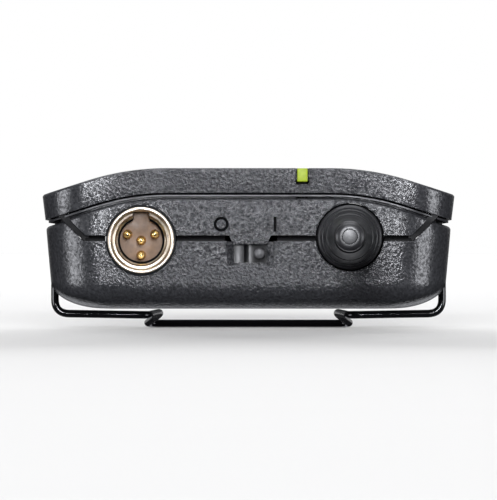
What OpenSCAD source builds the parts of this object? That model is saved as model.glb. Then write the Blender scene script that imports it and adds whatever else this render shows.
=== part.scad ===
// Wireless bodypack transmitter, lying face up on its belt clip.
// Local frame of the case: X across, Y from the socket end (0) to the hinge end, Z up from the back.
// place() moves that frame so that the origin is under the middle of the whole part.

/* [Case] */
// Length of the front cover, from the socket end to the hinge end
case_len = 110; // [109:0.5:112]
// Width of the front cover
cover_w = 63.6; // [63.2:0.1:64.4]
// Height of the cover's crown above the back of the case
crown_h = 21.7; // [21.6:0.1:22.2]
// Thickness of the cover, as its end shows it
cover_t = 3.85; // [3.7:0.05:3.95]
// Wall of the cover and of the battery door
cover_wall = 1.8; // [1.6:0.1:2]
// Wall of the rear housing
housing_wall = 2; // [1.8:0.1:2]
// Half width of the flat middle of the crown
crown_flat = 12.6; // [12:0.2:13]
// Radius of the crown's shoulders
crown_r = 40; // [38:1:42]
// Slope of the crown at its sides, in degrees
crown_fall = 17.6; // [17:0.2:18]
// Corner radius of the case, seen from the front
corner_r = 6.6; // [6:0.2:7]
// How far the housing's ends stand back from the cover's ends
face_inset = 0.8; // [0.6:0.1:1]
// Height of the seam between end panel and rear housing
seam_h = 11.3; // [11.2:0.1:11.4]
// Open groove along that seam
seam_gap = 0.85; // [0.7:0.05:1]

/* [Battery door] */
// Where the fixed cover ends and the battery door starts
door_start = 30; // [29:0.5:31]
// Joint line between the fixed cover and the door
door_gap = 0.4; // [0.3:0.05:0.5]
// Distance of the hinge pin from the hinge end
hinge_inset = 3.5; // [3.4:0.1:3.6]
// Height of the hinge pin above the back
hinge_h = 14.8; // [14.6:0.1:15]
// Diameter of the hinge pin
hinge_pin_d = 1.6; // [1.5:0.1:1.7]

/* [Socket] */
// Sideways position of the microphone socket
socket_x = -16.55; // [-17:0.05:-16]
// Height of the socket's axis above the back
socket_z = 10.57; // [10.4:0.01:10.8]
// Outer diameter of the socket's metal shell
socket_d = 9.9; // [9.8:0.05:10]
// Inner diameter of the shell at its mouth
socket_mouth_d = 8.7; // [8.5:0.1:8.8]
// Diameter of the contact insert
insert_d = 7.2; // [7:0.1:7.3]
// Diameter of one contact pin
contact_d = 1.15; // [1:0.05:1.2]

/* [Antenna] */
// Sideways position of the antenna
antenna_x = 15.6; // [15.4:0.05:15.8]
// Height of the antenna's axis above the back
antenna_z = 11.05; // [10.9:0.05:11.2]
// Length of the antenna outside the case
antenna_out = 80; // [70:1:95]
// Diameter of the whip
whip_d = 4.5; // [4.2:0.1:5]
// Diameter of the boot at the case
boot_d = 9.9; // [9.7:0.1:10]
// Length of the flared boot
boot_len = 22; // [18:1:26]
// Lean of the whip towards the middle of the case, in degrees
antenna_lean = 0.45; // [0:0.05:0.8]

/* [Switch] */
// Travel of the power switch
switch_travel = 2.9; // [2.4:0.1:2.9]
// Position of the slider's nub at On
switch_on_x = 1.7; // [1.6:0.05:1.8]
// Diameter of the nub
nub_d = 1.7; // [1.5:0.1:1.8]

/* [Belt clip] */
// Diameter of the clip's wire
wire_d = 1.2; // [1.1:0.05:1.3]
// Distance of the clip's pivot from the socket end
clip_y = 22; // [21.5:0.5:23]
// Height of the clip's pivot above the back
clip_pivot_h = 4.6; // [4.4:0.1:4.8]
// Half width of the clip's risers, centre of the wire
clip_half_w = 30.1; // [30:0.05:30.2]
// Length of the clip's loop
clip_len = 66; // [60:1:70]
// Drop of the loop's closed end below the back, centre of the wire
clip_drop = 2.7; // [2.4:0.1:3]

/* [Battery] */
// Diameter of one cell
cell_d = 14.5; // [14.2:0.1:14.5]
// Length of one cell with its button
cell_len = 50.5; // [50:0.1:50.5]

/* [Hidden] */

$fn = 48;
arc_steps = 8;
corner_steps = 16;
big = 60;
back_z = clip_drop + wire_d / 2;
end_y = -(case_len - antenna_out) / 2;
half_cover = cover_w / 2;

// Rear housing: half width at the shoulder, side draft, and the rolled lower edge
housing_half = 31.25;
shoulder_h = 12.9;
side_draft = 4.65;
roll_h = 4.4;
roll_side = 8.5;
roll_end = 5;
shoulder_off = 4.9;

// Panel and frame edges, as distances below the crown
panel_off = 4.65;
lip_top_off = 4.1;
lip_low_off = 4.4;
frame_low_off = 6.4;
panel_t = 1.6;
diag_x = 25.1;
frame_end = 102;
skirt_inset = 2.3;
skirt_t = 1.6;
frame_end_inset = 2.4;

// Openings of the panel and the housing, and the marks beside the switch
socket_hole_r = 5.45;
boot_r = boot_d / 2;
whip_r = whip_d / 2;
antenna_hole_r = boot_r + 0.3;
hole_depth = 4;
off_x = -4.2;
on_x = 4.1;
mark_z = 13.05;
mark_r = 1.15;
mark_line = 0.42;
mark_depth = 0.3;

// Socket: collar in the panel's hole, step of its shell, and its contacts
collar_r = 5.4;
neck_r = socket_d / 2 - 0.35;
socket_step_y = 3.4;
contact_circle = 2.3;
contact_tip_y = 3.4;

// Cover: draft of its sides, inset of its hollow, edge radius at the joint line
cover_draft = 0.45;
hollow_inset = 2.4;
joint_r = 0.3;
lens_gap = 0.25;
lens_len = 6;

// Slope at the foot of the housing's inner walls, and their straight part above it
foot_inset = 3.6;
foot_step = 0.5;
wall_z = 11;

// Inside levels above the back
board_z = 3.4;
board_t = 1.6;
board_top = board_z + board_t;
board_half = 25.4;
board_y = [3.4, 46.8];
board_screw = [23, 43];
shield_x = [-7, 19];
shield_y = [14, 31];
shield_h = 3.4;
shield_wall = 0.3;
deck_z = 13.2;
deck_t = 1.2;

// Power switch window
window_x = [-2.3, 2.77];
window_z = [7.15, 9.95];
notch_x = [-3.5, 4.15];
notch_z = 6.65;
notch_depth = 1.2;
shuttle_y = 3;
shuttle_t = 0.8;

// Controls under the door
control_y = 38.5;
gain_x = -18;
group_x = 10;
channel_x = 19;
display_x = -4;
knob_d = 4.8;
knob_stem_r = 1.2;
button_d = 3.8;
controls_half = 24.8;
controls_end = 47.2;
display_half = [7, 4];

// Light pipe
led_x = 8.3;
led_w = 1.6;
led_h = 2.1;

// Cells and tray
cell_x = 7.6;
cell_z = 9.75;
tray_y = [47.6, 103.4];
plate_y = 48.8;
plate_t = 0.4;
cell_y = plate_y + plate_t;
tray_half = 17;
tray_end_t = 0.9;
contact_half = 5.2;
contact_z = [5, 14.2];
spring_r = [4.6, 2.4];
spring_turns = 2;
spring_wire_r = 0.25;
pad_half = 12;
pad_y = [62, 90];
pad_low = 17.4;

// Fixings
screw_x = 22;
screw_y = [9.5, 101];
post_r = 2.6;
pilot_r = 0.8;
head_r = 2.5;
shank_hole_r = 1.2;
hinge_y = case_len - hinge_inset;
barrel_r = hinge_inset;
lug_x = 18;
lug_w = 3;
lug_r = 2.5;
lug_gap = 0.25;
hook_x = [25.2, 26.2];
latch_y = 38;
latch_half = 4.5;
latch_z = [6.5, 11];
latch_gap = 0.2;
label_half = 17;
label_y = [case_len - 38, case_len - 12];
label_recess = 0.4;
label_gap = 0.2;
stub_r = 0.55;
run_gap = 0.05;

// ---------- shared shapes ----------

module place() {
    translate([0, end_y, back_z]) children();
}

// Half of the crown's curve at a distance below the crown, from the middle to half width w
function crown_half(off, w) =
    let (r = crown_r - off,
         x1 = crown_flat + r * sin(crown_fall),
         z1 = crown_h - crown_r + r * cos(crown_fall))
    concat([for (i = [0:arc_steps]) let (a = crown_fall * i / arc_steps)
                [crown_flat + r * sin(a), crown_h - crown_r + r * cos(a)]],
           [[w, z1 - tan(crown_fall) * (w - x1)]]);

function mirrored(p) = [for (i = [len(p) - 1:-1:0]) [-p[i][0], p[i][1]]];
function backwards(p) = [for (i = [len(p) - 1:-1:0]) p[i]];
function crown_line(off, w) = concat(mirrored(crown_half(off, w)), crown_half(off, w));

// Prism along Y of an outline given in X and Z
module along_y(y0, y1) {
    translate([0, y1, 0]) rotate([90, 0, 0]) linear_extrude(y1 - y0) children();
}

// Everything under the crown, from a distance below it down to height z
module under_crown(off, y0, y1, w = big, z = -10) {
    along_y(y0, y1) polygon(concat(crown_line(off, w), [[w, z], [-w, z]]));
}

// Shell between two curves of the crown, narrower at its lower edge
module crown_band(off0, off1, y0, y1, w0, w1) {
    along_y(y0, y1) polygon(concat(crown_line(off0, w0), backwards(crown_line(off1, w1))));
}

function corner(cx, cy, r, a0) =
    [for (i = [0:corner_steps]) let (a = a0 + 90 * i / corner_steps) [cx + r * cos(a), cy + r * sin(a)]];

function rounded_plan(w, y0, y1, r0, r1) =
    concat(corner(-w + r0, y0 + r0, r0, 180), corner(w - r0, y0 + r0, r0, 270),
           corner(w - r1, y1 - r1, r1, 0), corner(-w + r1, y1 - r1, r1, 90));

// Upright prism with a rounded outline, w being its half width
module plan_block(w, y0, y1, r0, r1, z0 = -10, z1 = big) {
    translate([0, 0, z0]) linear_extrude(z1 - z0) polygon(rounded_plan(w, y0, y1, r0, r1));
}

module box(x, y, z) {
    translate([x[0], y[0], z[0]]) cube([x[1] - x[0], y[1] - y[0], z[1] - z[0]]);
}

// Cylinder along Y from y0 to y1
module rod_y(x, z, r, y0, y1, r2 = undef) {
    translate([x, y1, z]) rotate([90, 0, 0])
        cylinder(h = y1 - y0, r1 = is_undef(r2) ? r : r2, r2 = r);
}

// Cylinder along X from x0 to x1
module rod_x(y, z, r, x0, x1) {
    translate([x0, y, z]) rotate([0, 90, 0]) cylinder(h = x1 - x0, r = r);
}

module rod_z(x, y, r, z0, z1) {
    translate([x, y, z0]) cylinder(h = z1 - z0, r = r);
}

module both_sides() {
    children();
    mirror([1, 0, 0]) children();
}

module at_screws() {
    for (y = screw_y, s = [-1, 1]) translate([s * screw_x, y, 0]) children();
}

// Area above the seam: level in the middle, at 45 degrees towards the shoulders
module above_seam(gap) {
    x = diag_x + gap * (sqrt(2) - 1);
    z = seam_h - gap;
    polygon([[-big, z + big - x], [-x, z], [x, z], [big, z + big - x], [big, big * 2], [-big, big * 2]]);
}

// ---------- case ----------

// Cross-section of the housing: rolled lower edges, drafted sides, crowned shoulders
function roll(a, b, x, flip) =
    [for (i = [0:corner_steps]) let (t = 90 * (flip ? corner_steps - i : i) / corner_steps)
        [(x - a + a * sin(t)) * (flip ? -1 : 1), b - b * cos(t)]];

module housing_section() {
    low_half = housing_half - (shoulder_h - roll_h) * tan(side_draft);
    polygon(concat(roll(roll_side, roll_h, low_half, false),
                   backwards(crown_line(shoulder_off, housing_half)),
                   roll(roll_side, roll_h, low_half, true)));
}

module housing_side_view() {
    mid = case_len / 2;
    half = mid - face_inset;
    polygon(concat([for (p = roll(roll_end, roll_h, half, false)) [mid + p[0], p[1]]],
                   [[mid + half, big], [mid - half, big]],
                   [for (p = roll(roll_end, roll_h, half, true)) [mid + p[0], p[1]]]));
}

module housing_outer() {
    intersection() {
        along_y(0, case_len) housing_section();
        translate([-big, 0, 0]) rotate([90, 0, 90]) linear_extrude(2 * big) housing_side_view();
        plan_block(housing_half, face_inset, case_len - face_inset, corner_r, corner_r);
    }
}

module housing_cavity() {
    inner = housing_half - housing_wall;
    y0 = face_inset + housing_wall;
    intersection() {
        along_y(y0, case_len - y0)
            polygon([[-inner + foot_inset, housing_wall], [inner - foot_inset, housing_wall],
                     [inner - foot_step, roll_h + 0.6], [inner, wall_z], [inner, big],
                     [-inner, big], [-inner, wall_z], [-inner + foot_step, roll_h + 0.6]]);
        plan_block(inner, y0, case_len - y0, corner_r - housing_wall, corner_r - housing_wall);
    }
}

// Window of the power switch: walls that slope in, then a straight slot
module switch_window() {
    translate([0, 0, notch_z]) linear_extrude(seam_h - notch_z + 1)
        polygon([[notch_x[0], face_inset - 0.01], [notch_x[1], face_inset - 0.01],
                 [window_x[1], face_inset + notch_depth], [window_x[0], face_inset + notch_depth]]);
    box(window_x, [face_inset, 4], [window_z[0], seam_h + 1]);
    box([notch_x[0] + 0.3, notch_x[1] - 0.3], [face_inset, 4], [window_z[1] - 0.05, seam_h + 1]);
}

module clip_relief() {
    both_sides() {
        box([29.35, big], [clip_y - 2.3, clip_y + 0.9], [-1, clip_pivot_h + 1]);
        rod_x(clip_y, clip_pivot_h, stub_r + run_gap, 27.3, big);
    }
    box([-big, big], [clip_y - 4.6, clip_y + 1.2], [-1, 0.5]);
}

module latch_window() {
    both_sides()
        box([26, big], [latch_y - latch_half - latch_gap, latch_y + latch_half + latch_gap],
            [latch_z[0] - latch_gap, latch_z[1] + latch_gap]);
}

module rear_housing() color("#26272a") place() {
    difference() {
        union() {
            difference() {
                housing_outer();
                housing_cavity();
                along_y(-1, face_inset + housing_wall + 0.4) above_seam(seam_gap);
                box([-big, big], [hinge_y - 1.5, case_len + 1], [hinge_h - 4.25, big]);
                rod_x(hinge_y, hinge_h, barrel_r + 0.35, -big, big);
            }
            at_screws() rod_z(0, 0, 3, 1.5, 6);
            both_sides() rod_x(clip_y, clip_pivot_h, 2, 26.4, 29.2);
            for (s = [-1, 1]) translate([s * lug_x, 0, 0]) {
                rod_x(hinge_y, hinge_h, lug_r, -lug_w / 2, lug_w / 2);
                box([-lug_w / 2, lug_w / 2], [hinge_y - lug_r, hinge_y + lug_r], [roll_h + 1, hinge_h]);
            }
        }
        rod_y(socket_x, socket_z, socket_hole_r, -1, hole_depth);
        rod_y(antenna_x, antenna_z, antenna_hole_r, -1, hole_depth);
        switch_window();
        clip_relief();
        latch_window();
        rod_x(hinge_y, hinge_h, hinge_pin_d / 2, -lug_x - 2, lug_x + 2);
        at_screws() {
            rod_z(0, 0, shank_hole_r, -1, 7);
            translate([0, 0, -0.01]) cylinder(h = 1.3, r1 = head_r, r2 = shank_hole_r);
            rod_z(0, 0, head_r, -1, 0);
        }
        box([-label_half - label_gap, label_half + label_gap],
            [label_y[0] - label_gap, label_y[1] + label_gap], [-1, label_recess]);
    }
}

// Frame between housing and cover: a lip that shows as a fine line, an inner skirt, a deck and two posts
module mid_frame() color("#303134") place() {
    skirt_half = housing_half - skirt_inset;
    skirt_y = face_inset + frame_end_inset;
    inner_half = skirt_half - skirt_t;
    difference() {
        union() {
            intersection() {
                crown_band(lip_top_off, lip_low_off, 0, frame_end, big, big);
                plan_block(housing_half - 0.4, face_inset + 0.2, case_len, corner_r - 0.6, corner_r - 0.6);
            }
            intersection() {
                crown_band(lip_top_off, frame_low_off, 0, frame_end, big, big);
                plan_block(skirt_half, skirt_y, case_len, corner_r - 2, corner_r - 2);
            }
            intersection() {
                box([-big, big], [skirt_y, door_start - 1], [deck_z, deck_z + deck_t]);
                plan_block(skirt_half, skirt_y, case_len, corner_r - 2, corner_r - 2);
                under_crown(lip_top_off, 0, frame_end);
            }
            for (s = [-1, 1]) rod_z(s * screw_x, screw_y[0], post_r, 6, deck_z + 0.5);
        }
        plan_block(inner_half, skirt_y + skirt_t, case_len + 5, corner_r - 2 - skirt_t, 1, deck_z + deck_t);
        plan_block(inner_half, door_start - 1, case_len + 5, 0.4, 1);
        for (s = [-1, 1]) rod_z(s * screw_x, screw_y[0], pilot_r, 5, 12.5);
        box([led_x - 1, led_x + 1], [3, 7], [5, 20]);
        rod_y(socket_x, socket_z, 5.6, 0, 16);
        rod_y(antenna_x, antenna_z, antenna_hole_r + 0.3, 0, 9);
        box([-6.2, 7], [0, 3.95], [5, 10.5]);
    }
}

// Grained panel over the socket end, with a ring for Off and a bar for On
module end_panel() color("#2a2b2e") place() {
    difference() {
        intersection() {
            along_y(face_inset, face_inset + panel_t) {
                difference() {
                    intersection() {
                        polygon(concat(crown_line(panel_off, big), [[big, -10], [-big, -10]]));
                        union() {
                            above_seam(0);
                            polygon([[-3, seam_h + 0.1], [window_x[0] - 0.1, window_z[1]],
                                     [window_x[1] + 0.1, window_z[1]], [3.5, seam_h + 0.1]]);
                        }
                    }
                    translate([socket_x, socket_z]) circle(r = socket_hole_r);
                    translate([antenna_x, antenna_z]) circle(r = antenna_hole_r);
                }
            }
            plan_block(29.4, face_inset, case_len, 2.5, 1);
        }
        difference() {
            rod_y(off_x, mark_z, mark_r, -1, face_inset + mark_depth);
            rod_y(off_x, mark_z, mark_r - mark_line, -2, face_inset + mark_depth + 1);
        }
        box([on_x - mark_line / 2, on_x + mark_line / 2], [-1, face_inset + mark_depth],
            [mark_z - mark_r, mark_z + mark_r]);
    }
}

module cover_outer(y0, y1, r0, r1) {
    intersection() {
        crown_band(0, cover_t, y0, y1, half_cover, half_cover - cover_draft);
        plan_block(half_cover, y0, y1, r0, r1);
    }
}

module cover_cavity(y0, y1, r0, r1) {
    intersection() {
        under_crown(cover_wall, y0, y1);
        plan_block(half_cover - hollow_inset, y0, y1, r0, r1);
    }
}

module front_bezel() color("#2a2b2e") place() {
    difference() {
        cover_outer(0, door_start - door_gap, corner_r, joint_r);
        cover_cavity(cover_wall, door_start - 2.2, corner_r - cover_wall, joint_r);
        box([led_x - led_w / 2 - lens_gap, led_x + led_w / 2 + lens_gap], [-1, lens_len + 0.2],
            [crown_h - led_h - 0.45, big]);
    }
}

// ---------- light pipe and boards ----------

module led_lens() color("#a8d82a") place() {
    x = [led_x - led_w / 2, led_x + led_w / 2];
    box(x, [0.05, lens_len], [crown_h - led_h, crown_h - 0.02]);
    box(x, [3.3, 5.8], [6.6, crown_h - 1]);
}

module status_led() color("#e8e4c8") place() {
    box([led_x - 0.8, led_x + 0.8], [3.4, 5.6], [board_top, board_top + 1.3]);
}

module main_board() color("#1d5a34") place() {
    difference() {
        plan_block(board_half, board_y[0], board_y[1], 1.2, 1.2, board_z, board_top);
        for (s = [-1, 1]) {
            rod_z(s * screw_x, screw_y[0], post_r + 0.7, 0, 8);
            rod_z(s * board_screw[0], board_screw[1], 0.9, 0, 8);
        }
    }
}

module board_screws() color("#c9c9c4") place() {
    for (s = [-1, 1]) {
        rod_z(s * board_screw[0], board_screw[1], 0.85, housing_wall + 0.2, board_top);
        rod_z(s * board_screw[0], board_screw[1], 1.6, board_top, board_top + 1);
    }
}

module rf_shield() color("#c4c5c2") place() {
    difference() {
        box(shield_x, shield_y, [board_top, board_top + shield_h]);
        box([shield_x[0] + shield_wall, shield_x[1] - shield_wall],
            [shield_y[0] + shield_wall, shield_y[1] - shield_wall],
            [board_top - 1, board_top + shield_h - shield_wall]);
        for (x = [-3:3:15], y = [18, 22.5, 27]) rod_z(x, y, 0.6, 5, 12);
    }
}

// ---------- microphone socket ----------

module socket_shell() color("#cfc2ac") place() {
    mouth_r = socket_mouth_d / 2;
    throat_r = mouth_r - 0.25;
    seat_r = insert_d / 2;
    difference() {
        union() {
            rod_y(socket_x, socket_z, socket_d / 2, 0.1, socket_step_y);
            rod_y(socket_x, socket_z, neck_r, socket_step_y, 14);
        }
        rod_y(socket_x, socket_z, throat_r, 0.5, 1, throat_r);
        rod_y(socket_x, socket_z, mouth_r, -0.1, 0.51, throat_r);
        rod_y(socket_x, socket_z, throat_r, 0.9, 5.2, mouth_r - 0.45);
        rod_y(socket_x, socket_z, seat_r + 0.02, 5.1, 15);
    }
}

module socket_insert() color("#7d6a55") place() {
    difference() {
        rod_y(socket_x, socket_z, insert_d / 2, 7.4, 14.2);
        for (p = contact_places()) rod_y(socket_x + p[0], socket_z + p[1], contact_d / 2, 7, 15);
    }
}

// Three contacts on a circle and one in the middle
function contact_places() =
    concat([[0, 0]], [for (a = [-90, 24, 156]) contact_circle * [cos(a), sin(a)]]);

module socket_pins() color("#d9b25a") place() {
    for (p = contact_places()) translate([socket_x + p[0], 0, socket_z + p[1]]) {
        rod_y(0, 0, contact_d / 2, contact_tip_y, 16.5);
        translate([0, contact_tip_y, 0]) sphere(r = contact_d / 2);
    }
}

module socket_nut() color("#b9b4a8") place() {
    difference() {
        rod_y(socket_x, socket_z, collar_r, 5.2, 7.4);
        rod_y(socket_x, socket_z, neck_r, 5, 8);
    }
}

module socket_bezel() color("#141416") place() {
    difference() {
        union() {
            rod_y(socket_x, socket_z, collar_r, 0.55, socket_step_y);
            rod_y(socket_x, socket_z, collar_r, socket_step_y, 5.1);
        }
        rod_y(socket_x, socket_z, socket_d / 2 + 0.02, 0, socket_step_y + 0.01);
        rod_y(socket_x, socket_z, neck_r + 0.02, 3, 6);
    }
}

// ---------- antenna ----------

// Frame with its Z axis out of the case along the antenna
module on_antenna() {
    place() translate([antenna_x, 0, antenna_z]) rotate([0, 0, -antenna_lean]) rotate([90, 0, 0]) children();
}

// Rubber jacket: a boot that flares in a concave curve, then the slightly tapered whip
function boot_profile() =
    [for (i = [0:arc_steps]) let (t = i / arc_steps)
        [whip_r + 0.25 + (boot_r - 0.4 - whip_r - 0.25) * pow(1 - t, 1.8), 3 + (boot_len - 3) * t]];

module antenna_jacket() color("#1b1b1d") on_antenna() {
    difference() {
        rotate_extrude() polygon(concat(
            [[0, -2.4], [boot_r, -2.4], [boot_r, 1.6], [boot_r - 0.4, 2.2]],
            boot_profile(),
            [[whip_r, boot_len + 0.3], [whip_r - 0.15, antenna_out - 1.2], [whip_r - 0.5, antenna_out - 0.4],
             [whip_r - 1.1, antenna_out], [0, antenna_out]]));
        translate([0, 0, -3]) cylinder(h = 9, r = 2.2);
        translate([0, 0, 5]) cylinder(h = antenna_out - 9, r = 0.8);
    }
}

module antenna_wire() color("#b98a4a") on_antenna() {
    translate([0, 0, 6]) cylinder(h = antenna_out - 10.5, r = 0.75);
}

module antenna_base() color("#b9b9b4") on_antenna() {
    translate([0, 0, -7]) cylinder(h = 13, r = 2.15);
    translate([0, 0, -4.4]) cylinder(h = 2, r = 3.6);
}

// ---------- power switch ----------

module switch_body() color("#4a4b4f") place() {
    difference() {
        box([-6, 7.4], [shuttle_y + shuttle_t + 0.15, 7.6], [board_top, 10.4]);
        box([-3, 4], [3, 5.6], [7.4, 9.2]);
    }
}

// Slider: a plate that covers the window over its whole travel, a nub, and a tang into the switch
module switch_slider() color("#0f0f11") place() {
    x = [window_x[0] - 0.3, window_x[1] + switch_travel + 0.43];
    mid_z = (window_z[0] + window_z[1]) / 2;
    difference() {
        box(x, [shuttle_y, shuttle_y + shuttle_t], [window_z[0] - 0.35, window_z[1] + 0.25]);
        rod_z(switch_on_x - 2.1, shuttle_y - 0.9, 1.3, 5, 12);
    }
    rod_y(switch_on_x, mid_z, nub_d / 2, face_inset + 0.9, shuttle_y + 0.3);
    translate([switch_on_x, face_inset + 0.9, mid_z]) sphere(r = nub_d / 2);
    box([switch_on_x - 0.7, switch_on_x + 0.7], [shuttle_y + 0.3, 5.2], [7.7, 8.9]);
}

// ---------- battery bay ----------

module battery_tray() color("#232427") place() {
    difference() {
        union() {
            box([-tray_half, tray_half], tray_y, [housing_wall, 11]);
            for (s = [-1, 1]) {
                rod_z(s * screw_x, screw_y[1], post_r, 6.05, 10);
                box([min(s * 16, s * screw_x), max(s * 16, s * screw_x)],
                    [screw_y[1] - 1.2, screw_y[1] + 1.2], [6.2, 9.8]);
            }
        }
        for (s = [-1, 1]) {
            rod_y(s * cell_x, cell_z, cell_d / 2 + 0.2, plate_y - plate_t, tray_y[1] - tray_end_t);
            box([s * cell_x - 6.6, s * cell_x + 6.6], [plate_y - plate_t, tray_y[1] - tray_end_t],
                [cell_z, 12]);
            rod_z(s * screw_x, screw_y[1], pilot_r, 5, 9.4);
        }
        box([-4, 4], [60, 92], [9, 12]);
    }
}

// Cell along Y: s is its side, and the button points to the socket end on the right
module cell(s) {
    flip = s < 0;
    y0 = cell_y + (flip ? 2.2 : 0);
    place() translate([s * cell_x, flip ? y0 + cell_len : y0, cell_z]) rotate([flip ? 90 : -90, 0, 0]) {
        cylinder(h = 1.2, r = 2.6);
        translate([0, 0, 1.2]) cylinder(h = cell_len - 1.2, r = cell_d / 2);
    }
}

module cell_left() color("#2c2d31") cell(-1);
module cell_right() color("#2c2d31") cell(1);

// Conical coil from the plate at y0 towards the cell, its wire swept ring by ring
module coil_spring(len, turns, r0, r1, wire_r) {
    sides = 6;
    rings = turns * 12;
    points = [for (i = [0:rings]) let (t = i / rings, a = 360 * turns * t, r = r0 + (r1 - r0) * t)
                 for (j = [0:sides - 1]) let (b = 360 * j / sides)
                     [(r + wire_r * cos(b)) * cos(a), (r + wire_r * cos(b)) * sin(a),
                      len * t + wire_r * sin(b)]];
    faces = concat([[for (j = [0:sides - 1]) sides - 1 - j]],
                   [for (i = [0:rings - 1], j = [0:sides - 1]) let (k = (j + 1) % sides)
                       [i * sides + j, i * sides + k, (i + 1) * sides + k, (i + 1) * sides + j]],
                   [[for (j = [0:sides - 1]) rings * sides + j]]);
    polyhedron(points, faces);
}

module contact_springs() color("#c9c9c4") place() {
    near = plate_y + spring_wire_r + plate_t;
    far = cell_y + cell_len + 1.95;
    translate([-cell_x, near, cell_z]) rotate([-90, 0, 0])
        coil_spring(1.55, spring_turns, spring_r[0], spring_r[1], spring_wire_r);
    translate([cell_x, far, cell_z]) rotate([90, 0, 0])
        coil_spring(1.65, spring_turns, spring_r[0], spring_r[1], spring_wire_r);
}

module contact_plates() color("#c9c9c4") place() {
    for (s = [-1, 1])
        box([s * cell_x - contact_half, s * cell_x + contact_half], [plate_y - plate_t, plate_y], contact_z);
}

module contact_bridge() color("#c9c9c4") place() {
    y = tray_y[1] - tray_end_t;
    box([-cell_x - contact_half, cell_x + contact_half], [y, y + plate_t], [11.2, contact_z[1]]);
    for (s = [-1, 1])
        box([s * cell_x - contact_half, s * cell_x + contact_half], [y - plate_t, y], contact_z);
}

// ---------- controls under the door ----------

// Block over the display's window, larger than it by a margin
module on_display(margin, z) {
    box([display_x - display_half[0] - margin, display_x + display_half[0] + margin],
        [control_y - display_half[1] - margin, control_y + display_half[1] + margin], z);
}

module control_panel() color("#2b2c30") place() {
    difference() {
        box([-controls_half, controls_half], [door_start + 0.4, controls_end], [deck_z, deck_z + deck_t]);
        rod_z(gain_x, control_y, knob_d / 2 + 0.15, 10, 20);
        for (x = [group_x, channel_x]) rod_z(x, control_y, button_d / 2 + 0.1, 10, 20);
        on_display(0, [10, 20]);
    }
}

module display_module() color("#3b3d42") place() {
    on_display(1.5, [board_top, deck_z - 0.1]);
}

module display_window() color("#8fa08c") place() {
    on_display(-0.1, [deck_z, deck_z + deck_t - 0.1]);
}

module gain_pot() color("#2e5fa3") place() {
    difference() {
        box([gain_x - 3.5, gain_x + 3.5], [control_y - 3.5, control_y + 3.5], [board_top, 11]);
        rod_z(gain_x, control_y, knob_stem_r + run_gap, 7, 12);
    }
}

module gain_knob() color("#e6e6e2") place() {
    difference() {
        union() {
            rod_z(gain_x, control_y, knob_stem_r, 7.3, 12);
            rod_z(gain_x, control_y, knob_d / 2, 11.3, 16);
        }
        box([gain_x - 0.4, gain_x + 0.4], [control_y - 3, control_y + 3], [15, 17]);
    }
}

module tact_switches() color("#b9b9b4") place() {
    for (x = [group_x, channel_x])
        box([x - 3, x + 3], [control_y - 3, control_y + 3], [board_top, 9.8]);
}

module push_button(x) {
    place() {
        rod_z(x, control_y, button_d / 2, 10.3, 15.4);
        rod_z(x, control_y, button_d / 2 + 0.6, 11.6, 12.6);
    }
}

module group_button() color("#8b8c90") push_button(group_x);
module channel_button() color("#8b8c90") push_button(channel_x);

// ---------- battery door ----------

module battery_door() color("#2a2b2e") place() {
    y0 = door_start;
    difference() {
        union() {
            difference() {
                cover_outer(y0, case_len, joint_r, corner_r);
                cover_cavity(y0 + 1.8, hinge_y - barrel_r, joint_r, joint_r);
            }
            intersection() {
                union() {
                    rod_x(hinge_y, hinge_h, barrel_r, -big, big);
                    box([-big, big], [hinge_y - barrel_r, case_len], [hinge_h, crown_h]);
                }
                under_crown(0.5, y0, case_len);
                plan_block(half_cover - cover_draft, y0, case_len, joint_r, corner_r - cover_draft);
            }
            intersection() {
                both_sides() box(hook_x, [latch_y - 3, latch_y + 3], [9, crown_h]);
                under_crown(1, y0, case_len);
            }
        }
        rod_x(hinge_y, hinge_h, hinge_pin_d / 2 + run_gap, -lug_x - 6, lug_x + 6);
        for (s = [-1, 1])
            box([s * lug_x - lug_w / 2 - lug_gap, s * lug_x + lug_w / 2 + lug_gap],
                [hinge_y - barrel_r - 1, case_len + 1], [hinge_h - 5, hinge_h + 3.5]);
    }
}

module door_pad() color("#3a3a3c") place() {
    box([-pad_half, pad_half], pad_y, [pad_low, crown_h - cover_wall]);
}

module door_hinge_pin() color("#c4c4c0") place() {
    rod_x(hinge_y, hinge_h, hinge_pin_d / 2, -lug_x - 5, lug_x + 5);
}

// Side latch: a ribbed pad that shows in the wall, and a flange that keeps it in
module latch() {
    rib_w = 0.5;
    rib_step = 1.2;
    place() difference() {
        union() {
            box([28.4, 30.95], [latch_y - latch_half, latch_y + latch_half], latch_z);
            box([27.7, 28.6], [latch_y - 6, latch_y + 6], [5.8, 11.5]);
        }
        for (i = [-3:3])
            translate([0, latch_y + i * rib_step, 0]) box([30.6, 32], [-rib_w / 2, rib_w / 2], [6, 12]);
    }
}

module latch_right() color("#1c1d1f") latch();
module latch_left() color("#1c1d1f") mirror([1, 0, 0]) latch();

// ---------- belt clip ----------

// Corners of the right half of the wire, from the pivot stub to the closed end of the loop
function clip_corners() =
    [[28.6, clip_y, clip_pivot_h], [clip_half_w, clip_y, clip_pivot_h], [clip_half_w, clip_y, -0.78],
     [15.5, clip_y, -1.02], [13.6, clip_y + clip_len * 0.55, -0.7],
     [16.3, clip_y + clip_len, -clip_drop], [0, clip_y + clip_len, -clip_drop]];

// Bend radius at each corner
clip_bends = [0, 0.9, 2.2, 1.6, 14, 2, 0];

function unit(v) = v / norm(v);

// Points round one corner, on a parabola between the two tangent points
function bend(p, i) =
    let (a = unit(p[i - 1] - p[i]), b = unit(p[i + 1] - p[i]), r = clip_bends[i])
    [for (k = [0:6]) let (t = k / 6) p[i] + a * r * pow(1 - t, 2) + b * r * pow(t, 2)];

function clip_half() =
    let (p = clip_corners())
    concat([p[0]], [for (i = [1:len(p) - 2]) each bend(p, i)], [p[len(p) - 1]]);

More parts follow.
